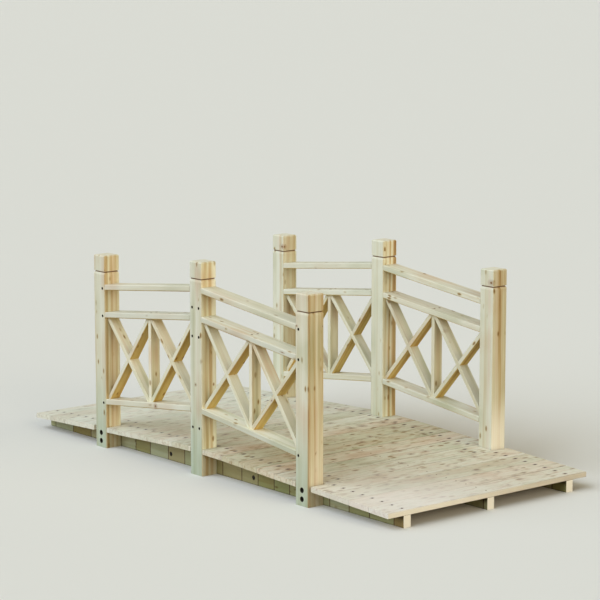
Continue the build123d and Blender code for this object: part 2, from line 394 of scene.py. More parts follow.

# %% [markdown]
# From grain to colour
#
# The finish is planed, untreated softwood. Pale early wood and tan late wood
# come from one colour ramp that the rings, bands and fibres push up and down,
# so the colours always belong together. Patches of pink and green lie over it,
# then the flecks and knots. The faces that look up and out are paler, partly
# bleached by the sun and partly painted light where the key light falls. The
# faces that look down get a painted warm shade, and the sawn ends are pale.
# Which way a face looks is read from its normal, so the same graph serves all
# sides.

# %% Wood colours
PALE = linear(224, 222, 204)
CREAM = linear(213, 208, 182)
TAN = linear(194, 172, 128)
BROWN = linear(150, 116, 70)
MIDDLE_STOPS = ((0.35, CREAM), (0.72, TAN))
PINK_TINT = linear(236, 208, 188)
GREEN_TINT = linear(196, 204, 176)
KNOT_HEART = linear(130, 94, 58)
MARK_TINTS = (  # a mark, how strongly it shows, and its tint
    ("glow", 0.6, linear(226, 200, 138)),
    ("fleck", 0.8, linear(150, 114, 40)),
    ("halo", 0.45, linear(170, 124, 80)),
)
# colour of stains and dark joints, and of the painted shade in a post's cap groove
STAIN_AND_SHADE = linear(130, 90, 64)
END_GRAIN = linear(226, 220, 198)
# the pale of freshly cut end grain; on the plank ends near the deck's corner it is painted light
FRESH_CUT_AND_LIGHT = linear(254, 253, 248)
PAINTED_WARM_SHADE_BELOW = (1.0, 0.80, 0.40, 1.0)  # painted warm shade on the faces that look down
# faces that look this way are paler: partly sun bleaching, partly painted light on the lit side
SUNNY_AND_LIT_SIDE = (0.0, -0.7, 0.7)
BLEACHING_AND_LIGHT = 0.5  # share of the grain's colour taken on that side: sun bleaching and painted light
BAND_DEPTH = 0.20


def timber_ramp(tree, amount):
    """Pale early wood at 0, brown late wood at 1."""
    ramp = add(tree, "ValToRGB", {0: amount})
    stops = ramp.color_ramp.elements
    stops[0].position, stops[0].color = 0.0, PALE
    stops[1].position, stops[1].color = 1.0, BROWN
    for position, colour in MIDDLE_STOPS:
        stops.new(position).color = colour
    return ramp.outputs["Color"]


def squareness(tree, way):
    """How squarely a face looks that way, from -1 to 1."""
    normal = add(tree, "TexCoord").outputs["Normal"]
    return vector(tree, "DOT_PRODUCT", normal, tuple(way), out=1)


def facing(tree, way, low=0.6, high=0.9):
    """1 on a face that looks that way, 0 on one that looks elsewhere."""
    return fade(tree, squareness(tree, way), low, high)


def end_grain(tree, along, most=1.0):
    """The same for the two faces that look along the grain, up to `most`."""
    return fade(tree, unsigned(tree, squareness(tree, along)), 0.7, 0.95, 0.0, most)


print("wood colours ready,", 2 + len(MIDDLE_STOPS), "stops in the ramp")

# %% Colour of one board
def grain_depth(tree, marks, depth, contrast, broad, fine, fibrous):
    """Where a point stands on the colour ramp; depth is the board's own middle."""
    centred = {mark: minus(tree, marks[mark], 0.5) for mark in ("bands", "years", "fibres")}
    amount = times(tree, centred["bands"], BAND_DEPTH * contrast)
    amount = times_plus(tree, centred["years"], broad * contrast, amount)
    amount = times_plus(tree, marks["rings"], fine * contrast, amount)
    amount = times_plus(tree, centred["fibres"], fibrous * contrast, amount)
    return sums(tree, "ADD", amount, depth, clamp=True)


def wood_colour(
    tree, marks, cut, depth, contrast, tint, stain_and_shade=None,
    broad=0.62, fine=0.20, fibrous=0.16, sunny_and_lit=SUNNY_AND_LIT_SIDE, cut_colour=END_GRAIN, cut_share=0.6,
):
    """A board's colour from its wood's marks, with painted light and shade; cut is the grain's
    direction.
    """
    amount = grain_depth(tree, marks, depth, contrast, broad, fine, fibrous)
    # the sunny side loses part of the grain's colour: sun bleaching and painted light
    kept = times_plus(tree, facing(tree, sunny_and_lit, 0.4, 0.8), -BLEACHING_AND_LIGHT, 1.0)
    colour = timber_ramp(tree, times(tree, amount, kept))
    halves = [times(tree, marks[mark], 0.5) for mark in ("patches", "hue")]
    blush = plus(tree, *halves)
    colour = glaze(tree, colour, fade(tree, blush, 0.5, 0.9, 0.0, 0.65), PINK_TINT)
    colour = glaze(tree, colour, fade(tree, blush, 0.5, 0.1, 0.0, 0.5), GREEN_TINT)
    for mark, share, mark_tint in MARK_TINTS:
        colour = glaze(tree, colour, times(tree, marks[mark], share), mark_tint)
    colour = blend_colours(tree, marks["knot"], colour, KNOT_HEART)
    # stains and dark joints, and on posts the painted shade of the cap groove
    if stain_and_shade is not None:
        colour = glaze(tree, colour, stain_and_shade, STAIN_AND_SHADE)
    colour = glaze(tree, colour, 1.0, (*tint, 1.0))
    # painted warm shade on the faces that look down
    colour = glaze(tree, colour, facing(tree, (0, 0, -1), 0.15, 0.5), PAINTED_WARM_SHADE_BELOW)
    return blend_colours(tree, end_grain(tree, cut, cut_share), colour, cut_colour)


print("colour of a board ready")

# %% [markdown]
# Sheen and relief of planed wood
#
# Planed softwood is dull, a little less so on the hard knots. Its rings and
# fibres stand proud or sink by a few hundredths of a millimetre, which would be
# millions of faces as a mesh, so a Bump node draws it. The finished material
# goes on the CAD board in place of its plain one.

# %% Wood surface
ROUGHNESS, BAND_ROUGHNESS, KNOT_POLISH = 0.52, 0.18, 0.12
RELIEF = 0.35 * MM
RING_RELIEF, FIBRE_RELIEF, KNOT_RELIEF = 0.5, 0.8, 0.6


def finish_wood(tree, shader, marks, colour):
    """Wires a board's colour, sheen and relief to its shader."""
    rough = times_plus(tree, marks["bands"], BAND_ROUGHNESS, ROUGHNESS)
    rough = times_plus(tree, marks["knot"], -KNOT_POLISH, rough)
    height = times(tree, marks["fibres"], FIBRE_RELIEF)
    height = times_plus(tree, marks["rings"], RING_RELIEF, height)
    height = times_plus(tree, marks["knot"], KNOT_RELIEF, height)
    bump = add(tree, "Bump", {"Strength": 0.35, "Distance": RELIEF, "Height": height})
    fill(tree, shader, {
        "Base Color": colour, "Roughness": rough, "Specular IOR Level": 0.35,
        "Normal": bump.outputs["Normal"],
    })


def put_on(node, material):
    """Makes this the only material of a CAD board."""
    nodes[node].data.materials.clear()
    nodes[node].data.materials.append(material)


print("wood surface ready, relief", RELIEF / MM, "mm")

# %% [markdown]
# Marks of the posts
#
# A post's head has a groove under its cap, where dust gathers and shade is
# painted in. Screws sit deep in 7 mm holes and bolts in 14 mm pockets in its
# outer face, and the holes are painted nearly black as painted shade. The outer
# faces are painted darker and greener towards the foot, as painted shade, and
# the end faces of the end posts are painted pale just above the deck, as
# painted bounce light. Each mark is a distance on Object coordinates, which a
# fade turns into a share of its tint.

# %% Groove and holes of a post
CAP_GROOVE = 45.6 * MM  # below the top of a post
GROOVE_EDGE = (2.6 * MM, 0.6 * MM)
OUTER_FACE = 343 * MM  # of the posts, from the bridge's middle line
SCREW_OFF = 14 * MM  # from a post's middle line
SCREW_HOLE = 7 * MM
SCREW_HEIGHTS = (449.0 * MM, 372.2 * MM, 127.8 * MM)
POCKET, POCKET_DEPTH = 14 * MM, 16 * MM
BOLT_HEIGHTS = (18 * MM, 41 * MM)
HOLE_FLOOR = OUTER_FACE - POCKET_DEPTH - 1 * MM
HOLE_EDGE = (0.7 * MM, -0.1 * MM)  # from a hole's rim, outwards
# painted shade: the holes and pockets are painted nearly black
PAINTED_HOLE_SHADE = linear(34, 28, 20)


def groove_dust_and_shade(tree, top):
    """Dust and painted shade in the groove under a post's cap."""
    height = axes_of(tree, object_place(tree))[2]
    away = unsigned(tree, minus(tree, height, top - CAP_GROOVE))
    return fade(tree, away, *GROOVE_EDGE, 0.0, 0.95)


def hole_shade(tree, middle):
    """Painted shade in the holes of a post whose middle line is at that x."""
    place = object_place(tree)
    from_middle = unsigned(tree, axes_of(tree, place)[1])
    in_holes = sums(tree, "GREATER_THAN", from_middle, HOLE_FLOOR)
    offsets = (-math.copysign(SCREW_OFF, middle),) if middle else (-SCREW_OFF, SCREW_OFF)
    holes = [(middle + off, z, SCREW_HOLE / 2) for off in offsets for z in SCREW_HEIGHTS]
    if middle:
        holes += [(middle, z, POCKET / 2) for z in BOLT_HEIGHTS]
    flat = vector(tree, "MULTIPLY", place, (1.0, 0.0, 1.0))
    nearest = None
    for x, z, radius in holes:
        away = minus(tree, vector(tree, "DISTANCE", flat, (x, 0.0, z), out=1), radius)
        nearest = away if nearest is None else sums(tree, "MINIMUM", nearest, away)
    return times(tree, fade(tree, nearest, *HOLE_EDGE), in_holes)


print("groove and holes ready, screws at", [round(z / MM, 1) for z in SCREW_HEIGHTS], "mm")

# %% Painted shade and light on a post
PAINTED_FOOT_SHADE = (0.66, 0.77, 0.73, 1.0)  # painted shade on the outer face near the foot
FOOT_SHADE_UP_TO = 280 * MM
FOOT_SHADE_SKIN = 10 * MM  # how far in from the outer face the painted shade reaches
PAINTED_BOUNCE_LIGHT = linear(250, 246, 236)  # painted bounce light on an end post's end face just above the deck
BOUNCE_LIGHT_HEIGHTS = (220 * MM, 95 * MM)
BOUNCE_LIGHT_SHARE = 0.15
BOUNCE_LIGHT_MORE = {"post_far_right": 0.72}


def painted_light_on_post(tree, colour, node, middle):
    """The colour of a post, with painted shade at its foot and painted bounce light just above the
    deck.
    """
    axes = axes_of(tree, object_place(tree))
    from_middle = unsigned(tree, axes[1])
    outside = sums(tree, "GREATER_THAN", from_middle, OUTER_FACE - FOOT_SHADE_SKIN)
    outside = times(tree, outside, end_grain(tree, (0, 1, 0)))
    foot_shade = times(tree, fade(tree, axes[2], FOOT_SHADE_UP_TO, 0.0), outside)
    colour = glaze(tree, colour, foot_shade, PAINTED_FOOT_SHADE)
    if not middle:
        return colour
    bounce_light = fade(tree, axes[2], *BOUNCE_LIGHT_HEIGHTS, 0.0, BOUNCE_LIGHT_MORE.get(node, BOUNCE_LIGHT_SHARE))
    end_face = facing(tree, (math.copysign(1, middle), 0, 0))
    return blend_colours(tree, times(tree, bounce_light, end_face), colour, PAINTED_BOUNCE_LIGHT)


# the painted shade at a post's foot reaches this high
print("weather ready, damp up to", round(FOOT_SHADE_UP_TO / MM), "mm")

# %% [markdown]
# One material for each board
#
# No two boards come from the same tree, so each one gets its own place in the
# grain, its own pith and a slightly different tint. The grain of a sloping rail
# or slat runs the way in which the points of its mesh spread the most. A few
# boards are paler than the rest, partly as their own tone and partly as painted
# light where more light falls on them, and a few single faces that lie in shade
# are painted lighter, as painted light. Two short tables name them, so that one
# function can dress every board.

# %% What sets a board apart
PALER_TONE_AND_LIGHT = {  # part of a node's name, and how much paler it is: own tone and painted light
    "middle_rail_near_right": 0.97,
    "slat_near": 1.10,
    "upright_near": 1.14,
    "upright_far": 1.04,
}
PAINTED_LIGHT_FACES = {  # which way the face looks, and how much paler it is painted, as painted light
    "middle_rail_near_right": ((0, 0, 1), 1.27),
    "bottom_rail_near_right": ((0, 0, 1), 1.27),
    "post_near_left": ((1, 0, 0), 1.12),
    "post_near_middle": ((1, 0, 0), 1.20),
    "post_far_middle": ((1, 0, 0), 1.15),
}


def long_way(node):
    """The direction in which a board's points spread the most."""
    points = np.array([v.co for v in nodes[node].data.vertices])
    spread = np.linalg.eigh(np.cov((points - points.mean(0)).T))[1]
    way = spread[:, 2]
    return tuple(way if way[np.argmax(abs(way))] > 0 else -way)


# these faces are painted lighter where they lie in shade: painted light, not bleaching
print(len(PAINTED_LIGHT_FACES), "faces are more bleached than the rest")

# %% Wood of one board
dice = random.Random(5578)


def dress(node, along, across, pith, depth, contrast, knots=0.4, shade=1.0, **looks):
    """Gives a board its own wood, with its painted light and shade."""
    low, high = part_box(node)
    is_post = node.startswith("post")
    material, tree, shader = start_material("wood_" + node)
    place = board_space(tree, (low + high) / 2, along, across)
    lot = tuple(dice.uniform(0, 9) for _ in range(3))
    marks = grain(tree, place, pith, lot, knots)
    shade *= 1 + dice.uniform(-0.03, 0.03)
    # own tone and painted light of a few boards
    shade *= next((share for part, share in PALER_TONE_AND_LIGHT.items() if part in node), 1.0)
    warmth = dice.uniform(-0.02, 0.02)
    tint = (shade * (1 + warmth), shade, shade * (1 - warmth))
    # dust and painted shade in the groove under a post's cap
    stain_and_shade = groove_dust_and_shade(tree, high.z) if is_post else None
    colour = wood_colour(tree, marks, along, depth, contrast, tint, stain_and_shade, **looks)
    # a post gets painted shade at its foot and in its holes, an end post painted bounce light on
    # its end face
    if is_post:
        middle = round((low.x + high.x) / 2, 3)
        colour = painted_light_on_post(tree, colour, node, middle)
        colour = blend_colours(tree, hole_shade(tree, middle), colour, PAINTED_HOLE_SHADE)
    # painted light: faces that lie in shade are painted lighter
    if node in PAINTED_LIGHT_FACES:
        way, share = PAINTED_LIGHT_FACES[node]
        colour = glaze(tree, colour, facing(tree, way), (share, share, share, 1.0))
    finish_wood(tree, shader, marks, colour)
    put_on(node, material)


print("wood of a board ready")

# %% [markdown]
# Stringers
#
# The three boards on edge that carry the deck are glued up from short blocks,
# with a dark joint between two. A Voronoi texture in one dimension deals them
# out: its cells are the blocks, its random colour sends each to its own place
# in the grain, and the distance to a cell's edge draws the joint. The sides are
# darker and greener than the other boards, partly as their own tone and partly
# as painted shade, with a band of painted shade under the planks, and they are
# a little darker along the foot. The top is two straight flanks with a short
# rounded crown, so the depth below it follows from the distance to the middle.

# %% Measures of a stringer
ARCH_TOP = 59.7 * MM  # crown of the stringers
CROWN_END = 130 * MM  # half the length of the rounded crown
CROWN_RADIUS = 3127 * MM
FLANK_ANGLE = math.asin(CROWN_END / CROWN_RADIUS)
APEX = ARCH_TOP + CROWN_END * math.tan(FLANK_ANGLE) / 2  # where the flanks would meet
BRACE_SPACING = 360 * MM
BRACE_BOLT_HEIGHT = 18 * MM
BRACE_HOLE = 12 * MM
print("flanks at", round(math.degrees(FLANK_ANGLE), 2), "degrees, apex", round(APEX / MM, 1), "mm")

# %% Wood of a stringer
BLOCKS_A_METRE = 13.0
BLOCK_JUMP = 4.0  # how far apart the blocks were cut, at most, in metres
JOINT_EDGE = (0.03, 0.012)  # in widths of a block
# painted shade on the sides just under the planks, and a darker foot
SHADE_UNDER_PLANKS = (20 * MM, 3 * MM)  # below the arched top
FOOT_DARKENING = (4 * MM, 0.0)
BRACE_HOLE_EDGE = (BRACE_HOLE / 2 + 1 * MM, BRACE_HOLE / 2 - 0.5 * MM)
# the stringers are darker and greener than the other boards: partly their own tone, partly painted
# shade
STRINGER_TONE_AND_SHADE = (0.63, 0.68, 0.53)
BLOCK_TINTS = (linear(234, 210, 178), linear(220, 216, 178))  # ruddy and green ones
DARKENING = linear(70, 58, 38)


def dress_stringer(node, pith):
    """Gives a stringer its blocks, its joints, its painted shade and its darker foot."""
    low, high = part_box(node)
    material, tree, shader = start_material("wood_" + node)
    place = board_space(tree, (low + high) / 2, (1, 0, 0), (0, 0, 1))
    length = plus(tree, axes_of(tree, place)[0], dice.uniform(2, 8))
    lots = {"W": length, "Scale": BLOCKS_A_METRE, "Randomness": 0.8}
    blocks = add(tree, "TexVoronoi", lots, voronoi_dimensions="1D")
    edges = add(tree, "TexVoronoi", lots, voronoi_dimensions="1D", feature="DISTANCE_TO_EDGE")
    jump = vector(tree, "MULTIPLY", blocks.outputs["Color"], (BLOCK_JUMP,) * 3)
    marks = grain(tree, place, pith, jump, knots=0.3)
    joint = fade(tree, edges.outputs["Distance"], *JOINT_EDGE, 0.0, 0.95)
    colour = wood_colour(
        tree, marks, (1, 0, 0), depth=0.32, contrast=1.2, tint=STRINGER_TONE_AND_SHADE, stain_and_shade=joint,
        cut_colour=FRESH_CUT_AND_LIGHT, cut_share=1.0,
    )
    sides = fade(tree, facing(tree, (1, 0, 0), 0.5, 0.9), 0.0, 1.0, 1.0, 0.0)
    for luck, tint in zip(draws(tree, blocks), BLOCK_TINTS):
        share = times(tree, sides, fade(tree, luck, 0.4, 0.9))
        colour = glaze(tree, colour, share, tint)

    x, _, z = axes_of(tree, vector(tree, "ABSOLUTE", object_place(tree)))
    below = minus(tree, times_plus(tree, x, -math.tan(FLANK_ANGLE), APEX), z)
    # painted shade along the top of the sides, under the planks; darker along the foot
    shade_under_planks = fade(tree, below, *SHADE_UNDER_PLANKS, 0.0, 0.85)
    along_foot = fade(tree, z, *FOOT_DARKENING, 0.0, 0.5)
    darkening = times(tree, sums(tree, "MAXIMUM", shade_under_planks, along_foot), sides)
    colour = glaze(tree, colour, darkening, DARKENING)
    bolt = (BRACE_SPACING / 2, 0.0, BRACE_BOLT_HEIGHT)
    away = vector(tree, "DISTANCE", joined(tree, x, 0.0, z), bolt, out=1)
    # painted shade in the brace bolt's hole
    colour = blend_colours(tree, fade(tree, away, *BRACE_HOLE_EDGE), colour, PAINTED_HOLE_SHADE)
    finish_wood(tree, shader, marks, colour)
    put_on(node, material)


print("wood of a stringer ready,", BLOCKS_A_METRE, "blocks in a metre")

# %% [markdown]
# Dressing the boards
#
# Each kind of board is cut from its own part of a tree and shows it: the posts
# have broad bands, and the slats are even and nearly free of knots. The pith
# lies to one side or the other by chance. The boards are taken in the order of
# their names, because every draw of the dice changes those that follow.

# %% Dress the posts, rails, slats, stringers and braces
# the lattice's paler side looks up and to the right: painted light where the fill falls
LATTICE_LOOKS = {"depth": 0.26, "knots": 0.2, "sunny_and_lit": (0.6, -0.6, 0.55)}


def off(nearest, furthest, way=1):
    """A random distance to the pith, given in millimetres."""
    return way * dice.uniform(nearest, furthest) * MM


for node in sorted(nodes):
    side = dice.choice((-1, 1))
    if node.startswith("post"):
        pith = (off(30, 50, dice.choice((-1, 1))), off(35, 60, side))
        dress(node, (0, 0, 1), (1, 0, 0), pith, depth=0.34, contrast=1.5, broad=0.9, fine=0.12)
    elif "rail" in node:
        pith = (off(30, 70, side), off(-30, 30))
        dress(node, long_way(node), (0, 1, 0), pith, depth=0.20, contrast=1.1, shade=0.95)
    elif "slat" in node:
        pith = (off(40, 80, side), off(-20, 20))
        dress(node, long_way(node), (0, 1, 0), pith, contrast=1.2, **LATTICE_LOOKS)
    elif node.startswith("lattice_upright"):
        pith = (off(40, 80, side), off(-20, 20))
        dress(node, (0, 0, 1), (0, 1, 0), pith, contrast=1.3, **LATTICE_LOOKS)
    elif node.startswith("stringer"):
        pith = (off(-20, 20), off(30, 60, side))
        dress_stringer(node, pith)
    elif node.startswith("cross_brace"):
        pith = (off(-20, 20), off(20, 40, side))
        dress(node, (0, 1, 0), (0, 0, 1), pith, depth=0.35, contrast=1.0)
print(len([n for n in nodes if nodes[n].data.materials]), "boards dressed")

# %% [markdown]
# Stains on the deck
#
# The 21 planks are 72.6 mm apart, and three of them share one CAD node. One
# material serves them all: the place along the bridge divided by that pitch
# gives each plank's number, and the place across a plank is what is left over.
# Rust has run from the nails a little way along the grain, and dirt lies in the
# seams. Both are distances again, to the nearest nail and to a plank's edge.

# %% Nails and seams of the deck
PLANKS = 21
HALF_LENGTH = 762 * MM
PLANK_PITCH = 2 * HALF_LENGTH / PLANKS
NAIL_FROM_MIDDLE = 18 * MM  # from a plank's middle line
NAIL_ROWS = 283 * MM  # the outer rows, from the bridge's middle line
NOTCHED = 6  # the planks with this number pass an end post
NOTCHED_ROWS = 238 * MM  # and their outer nails stand further in
RUST_STRETCH = 0.55
RUST_EDGE = (6.0 * MM, 2.4 * MM)
SEAM_EDGE = (PLANK_PITCH / 2 - 2.2 * MM, PLANK_PITCH / 2 - 0.4 * MM)


def rust(tree, along, across, number):
    """Stains round the nails of the outer rows."""
    notched = sums(tree, "COMPARE", unsigned(tree, number), NOTCHED, 0.5)
    row = times_plus(tree, notched, NOTCHED_ROWS - NAIL_ROWS, NAIL_ROWS)
    to_row = minus(tree, unsigned(tree, along), row)
    to_row = times(tree, unsigned(tree, to_row), RUST_STRETCH)
    to_line = minus(tree, unsigned(tree, across), NAIL_FROM_MIDDLE)
    to_nail = joined(tree, to_row, unsigned(tree, to_line))
    return fade(tree, vector(tree, "LENGTH", to_nail, out=1), *RUST_EDGE)


def seam_dirt(tree, across, bands):
    """Dirt along a plank's edges, more in the soft bands of the grain."""
    seam = fade(tree, unsigned(tree, across), *SEAM_EDGE)
    return times(tree, seam, fade(tree, bands, 0.0, 1.0, 0.25, 0.75))


print("nails and seams ready,", PLANKS, "planks, one every", round(PLANK_PITCH / MM, 1), "mm")

# %% [markdown]
# The deck
#
# People walk on the planks and rain stands on them, so their wood is the most
# mottled of all: rosy and mossy planks, blotches of both on each, some grime,
# and more knots and flecks than elsewhere. Near the right-hand end a pool of
# light is painted pale on the planks and on their ends by the corner, and
# towards the other end a painted sheen turns them silver. The plank's number
# draws its tint and its own place in the grain, and slow noise makes the
# blotches.

# %% Wear of the deck
ROSY = linear(240, 214, 194)
MOSSY = linear(214, 214, 186)
GRIMY = linear(212, 190, 166)
# painted light: a pale pool near the right-hand corner, and a painted sheen towards the other end
PAINTED_LIGHT_POOL = linear(242, 236, 230)
LIGHT_POOL_SPOT = (-0.22, 0.72, 0.0)  # centre of the painted pool of light, near the right-hand corner, in the planks' own axes
PAINTED_SHEEN = linear(238, 245, 237)
MOTTLE_STRETCH, MOTTLE_SCALE, GRIME_SCALE = 0.3, 62.0, 85.0


def mottled_and_lit(tree, colour, place, jump, tints):
    """The mottle and grime of the planks over their wood, with a painted pool of light and a
    painted sheen.
    """
    spot = drawn_out(tree, vector(tree, "ADD", place, jump), MOTTLE_STRETCH)
    mottle = noise(tree, spot, MOTTLE_SCALE, detail=3.0, roughness=0.6)
    other_spot = vector(tree, "ADD", spot, (3.0, 1.0, 2.0))
    grime = noise(tree, other_spot, GRIME_SCALE, roughness=0.6)
    for value, nothing, full, most, tint in (
        (tints[1], 0.5, 1.0, 0.5, ROSY),
        (tints[2], 0.5, 1.0, 0.5, MOSSY),
        (mottle, 0.5, 1.0, 0.5, ROSY),
        (mottle, 0.5, 0.0, 0.5, MOSSY),
        (grime, 0.55, 1.0, 0.8, GRIMY),
    ):
        colour = glaze(tree, colour, fade(tree, value, nothing, full, 0.0, most), tint)
    along_bridge = axes_of(tree, place)[1]
    corner = vector(tree, "DISTANCE", place, LIGHT_POOL_SPOT, out=1)
    by_corner = fade(tree, corner, 0.42, 0.0, 0.0, 0.5)
    by_end = fade(tree, along_bridge, 0.2, 0.7, 0.0, 0.18)
    colour = blend_colours(tree, plus(tree, by_corner, by_end), colour, PAINTED_LIGHT_POOL)
    painted_sheen = fade(tree, along_bridge, 0.25, -0.45, 0.0, 0.36)
    colour = blend_colours(tree, painted_sheen, colour, PAINTED_SHEEN)
    # painted light: the plank ends near the corner are painted pale
    cut = fade(tree, corner, 0.4, 0.0, 0.5, 1.0)
    cut = times(tree, end_grain(tree, (1, 0, 0)), cut)
    return blend_colours(tree, cut, colour, FRESH_CUT_AND_LIGHT)


# the painted pool of light is brightest at this spot
print("wear ready, most scuffed at", LIGHT_POOL_SPOT)

# %% Dress the deck
DECK_MIDDLE = (0, 0, 0.06)
DECK_TINT = (1.03, 1.04, 1.08)
# the deck's flank that looks to the right is paler: partly sun bleaching, partly painted light
DECK_SUNNY_AND_LIT_SIDE = (0.62, -0.2, 0.76)
DECK_PITH = (0.0, 0.055)
PLANK_JUMP = 6.0  # how far apart the planks were cut, at most, in metres
PITH_SWAY = 0.06  # how far the pith moves from plank to plank, at most
DECK_MARKS = {
    "knots": 0.5, "knot_size": 1.2, "knot_cells": 15.0, "flecks": 0.26, "fleck_cells": 70.0,
}

material, tree, shader = start_material("wood_deck")
place = board_space(tree, DECK_MIDDLE, (0, 1, 0), (1, 0, 0))
along, along_bridge, up = axes_of(tree, place)
number = sums(tree, "ROUND", sums(tree, "DIVIDE", along_bridge, PLANK_PITCH))
across = times_plus(tree, number, -PLANK_PITCH, along_bridge)
plank = add(tree, "TexWhiteNoise", {"W": number}, noise_dimensions="1D")
jump = vector(tree, "MULTIPLY", plank.outputs["Color"], (PLANK_JUMP,) * 3)
luck = draws(tree, plank)
sway = times_plus(tree, luck[0], PITH_SWAY, -PITH_SWAY / 2)
swayed = joined(tree, along, plus(tree, across, sway), up)
marks = grain(tree, swayed, DECK_PITH, jump, **DECK_MARKS)
stains = (rust(tree, along, across, number), seam_dirt(tree, across, marks["bands"]))
colour = wood_colour(
    tree, marks, (0, 1, 0), depth=0.40, contrast=1.3, tint=DECK_TINT,
    stain_and_shade=sums(tree, "MAXIMUM", *stains), broad=0.25, fibrous=0.42, sunny_and_lit=DECK_SUNNY_AND_LIT_SIDE,
)
finish_wood(tree, shader, marks, mottled_and_lit(tree, colour, place, jump, luck))
deck_nodes = [node for node in nodes if node.startswith("deck_planks")]
for node in deck_nodes:
    put_on(node, material)
print(PLANKS, "planks dressed, in", len(deck_nodes), "nodes")

# %% [markdown]
# Shaping metal by hand
#
# Every nail, screw and bolt starts as a plain cylinder, is shaped in edit mode
# and is then copied to each of its places. An edit-mode tool works on what is
# selected, so `pick` selects faces by where they are and which way they look.
# The copies of each kind are joined into one piece, so that the list of pieces
# stays short.

# %% Modelling helpers
LOOKS_UP = 0.9  # least height of the normal of a face that looks up
SAME_HEIGHT = 0.02 * MM


def choose(*pieces):
    """Selects just these pieces and makes the first one active."""
    bpy.ops.object.select_all(action="DESELECT")
    for piece in pieces:
        piece.select_set(True)
    bpy.context.view_layer.objects.active = pieces[0]


def start_cylinder(name, sides, radius, depth, top=0.0):
    """A cylinder along Z whose upper end lies at the height top."""
    bpy.ops.mesh.primitive_cylinder_add(
        vertices=sides, radius=radius, depth=depth, location=(0, 0, top - depth / 2),
    )
    made = bpy.context.object
    made.name = name
    bpy.ops.object.transform_apply(location=True)
    return made


def leave_edit():
    """Goes back to object mode, which writes the edit into the mesh."""
    bpy.ops.object.mode_set(mode="OBJECT")


def pick(piece, test):
    """Goes into edit mode with the faces selected that pass test(centre, normal)."""
    leave_edit()
    bpy.context.tool_settings.mesh_select_mode = (False, False, True)
    mesh = piece.data
    for part in (*mesh.vertices, *mesh.edges):
        part.select = False
    for face in mesh.polygons:
        face.select = test(face.center, face.normal)
    bpy.ops.object.mode_set(mode="EDIT")


def looks_up(centre, normal):
    """A test for faces that look up."""
    return normal.z > LOOKS_UP


def top_at(height):
    """A test for faces that look up and lie at that height."""
    return lambda centre, normal: normal.z > LOOKS_UP and abs(centre.z - height) < SAME_HEIGHT


def shift_up(distance):
    """Raises what is selected."""
    bpy.ops.transform.translate(value=(0, 0, distance))


print("modelling helpers ready")

# %% [markdown]
# Metals
#
# The outer rows of deck nails are bare steel that has browned. Those along the
# middle, where people walk, and on the rails are covered with wood dust and
# hardly show. The screws and bolts have a black oxide skin and sit deep in
# their holes. All are one metal shader, blotched with noise.

# %% Metal finishes
BLOTCH_SCALE = 600.0  # blotches in a metre
PITTING_SCALE = 3 * BLOTCH_SCALE
PITTING = 0.05 * MM
DULLER = 0.15  # how much rougher the dark blotches are


def metal(name, bright, dark, roughness, metallic):
    """A slightly blotched and pitted metal."""
    material, tree, shader = start_material(name)
    place = object_place(tree)
    blotch = noise(tree, place, BLOTCH_SCALE, 3.0)
    pits = noise(tree, place, PITTING_SCALE)
    bump = add(tree, "Bump", {"Strength": 0.3, "Distance": PITTING, "Height": pits})
    fill(tree, shader, {
        "Base Color": blend_colours(tree, blotch, dark, bright), "Metallic": metallic,
        "Roughness": fade(tree, blotch, 0.0, 1.0, roughness + DULLER, roughness),
        "Normal": bump.outputs["Normal"],
    })
    return material


NAIL_STEEL = metal(
    "browned_steel", linear(92, 66, 48), linear(50, 32, 22), roughness=0.6, metallic=0.3,
)
DUSTY_STEEL = metal(
    "dusty_steel", linear(168, 146, 116), linear(128, 104, 76), roughness=0.7, metallic=0.2,
)
BLACK_STEEL = metal(
    "black_steel", linear(40, 36, 30), linear(16, 14, 12), roughness=0.5, metallic=0.5,
)
print("metals ready:", NAIL_STEEL.name, DUSTY_STEEL.name, BLACK_STEEL.name)

# %% [markdown]
# Deck nails
#
# Each plank is held by two nails over every stringer. The head is 6 mm wide,
# domed a little, and stands a few tenths of a millimetre above the wood. A
# cylinder's upper rim is bevelled and its middle is inset and raised. A copy is
# then tilted to lie square on its plank, because the planks follow the arch.

# %% One nail and its copies
NAIL_LENGTH = 3 * MM  # only the upper end of a nail is drawn
DOME = 0.12 * MM  # how far the middle of the head is raised


def copies(model, places, name):
    """Joins copies of a model, one for each matrix, into one piece."""
    made = []
    for place in places:
        copy = model.copy()
        copy.data = model.data.copy()
        copy.data.transform(place)
        bpy.context.scene.collection.objects.link(copy)
        made.append(copy)
    bpy.data.objects.remove(model)
    choose(*made)
    bpy.ops.object.join()
    piece = bpy.context.object
    piece.name = piece.data.name = name
    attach(piece, "root")
    print(name, len(places), "copies,", len(piece.data.polygons), "faces")


def finished(piece, finish, smooth_below=35):
    """The piece in its metal, smooth over edges of less than so many degrees."""
    bpy.ops.object.shade_smooth_by_angle(angle=math.radians(smooth_below))
    piece.data.materials.append(finish)
    return piece


def nail_model(radius, proud, finish):
    """The end of a nail at the origin; its head stands proud of z = 0."""
    nail = start_cylinder("nail", 14, radius, NAIL_LENGTH, proud)
    pick(nail, looks_up)
    bpy.ops.mesh.bevel(offset=0.25 * proud + 0.2 * MM, segments=2, affect="EDGES")
    pick(nail, top_at(proud))
    bpy.ops.mesh.inset(thickness=0.45 * radius)
    shift_up(DOME)
    leave_edit()
    return finished(nail, finish)


print("nail ready, drawn", NAIL_LENGTH / MM, "mm long")

# %% Deck nails
PLANK_THICKNESS = 13.3 * MM
LAST_PLANK = PLANKS // 2  # counted from the middle one
OUTER_NAIL = {"radius": 3.0 * MM, "proud": 0.5 * MM, "finish": NAIL_STEEL}
MIDDLE_NAIL = {"radius": 2.4 * MM, "proud": 0.2 * MM, "finish": DUSTY_STEEL}


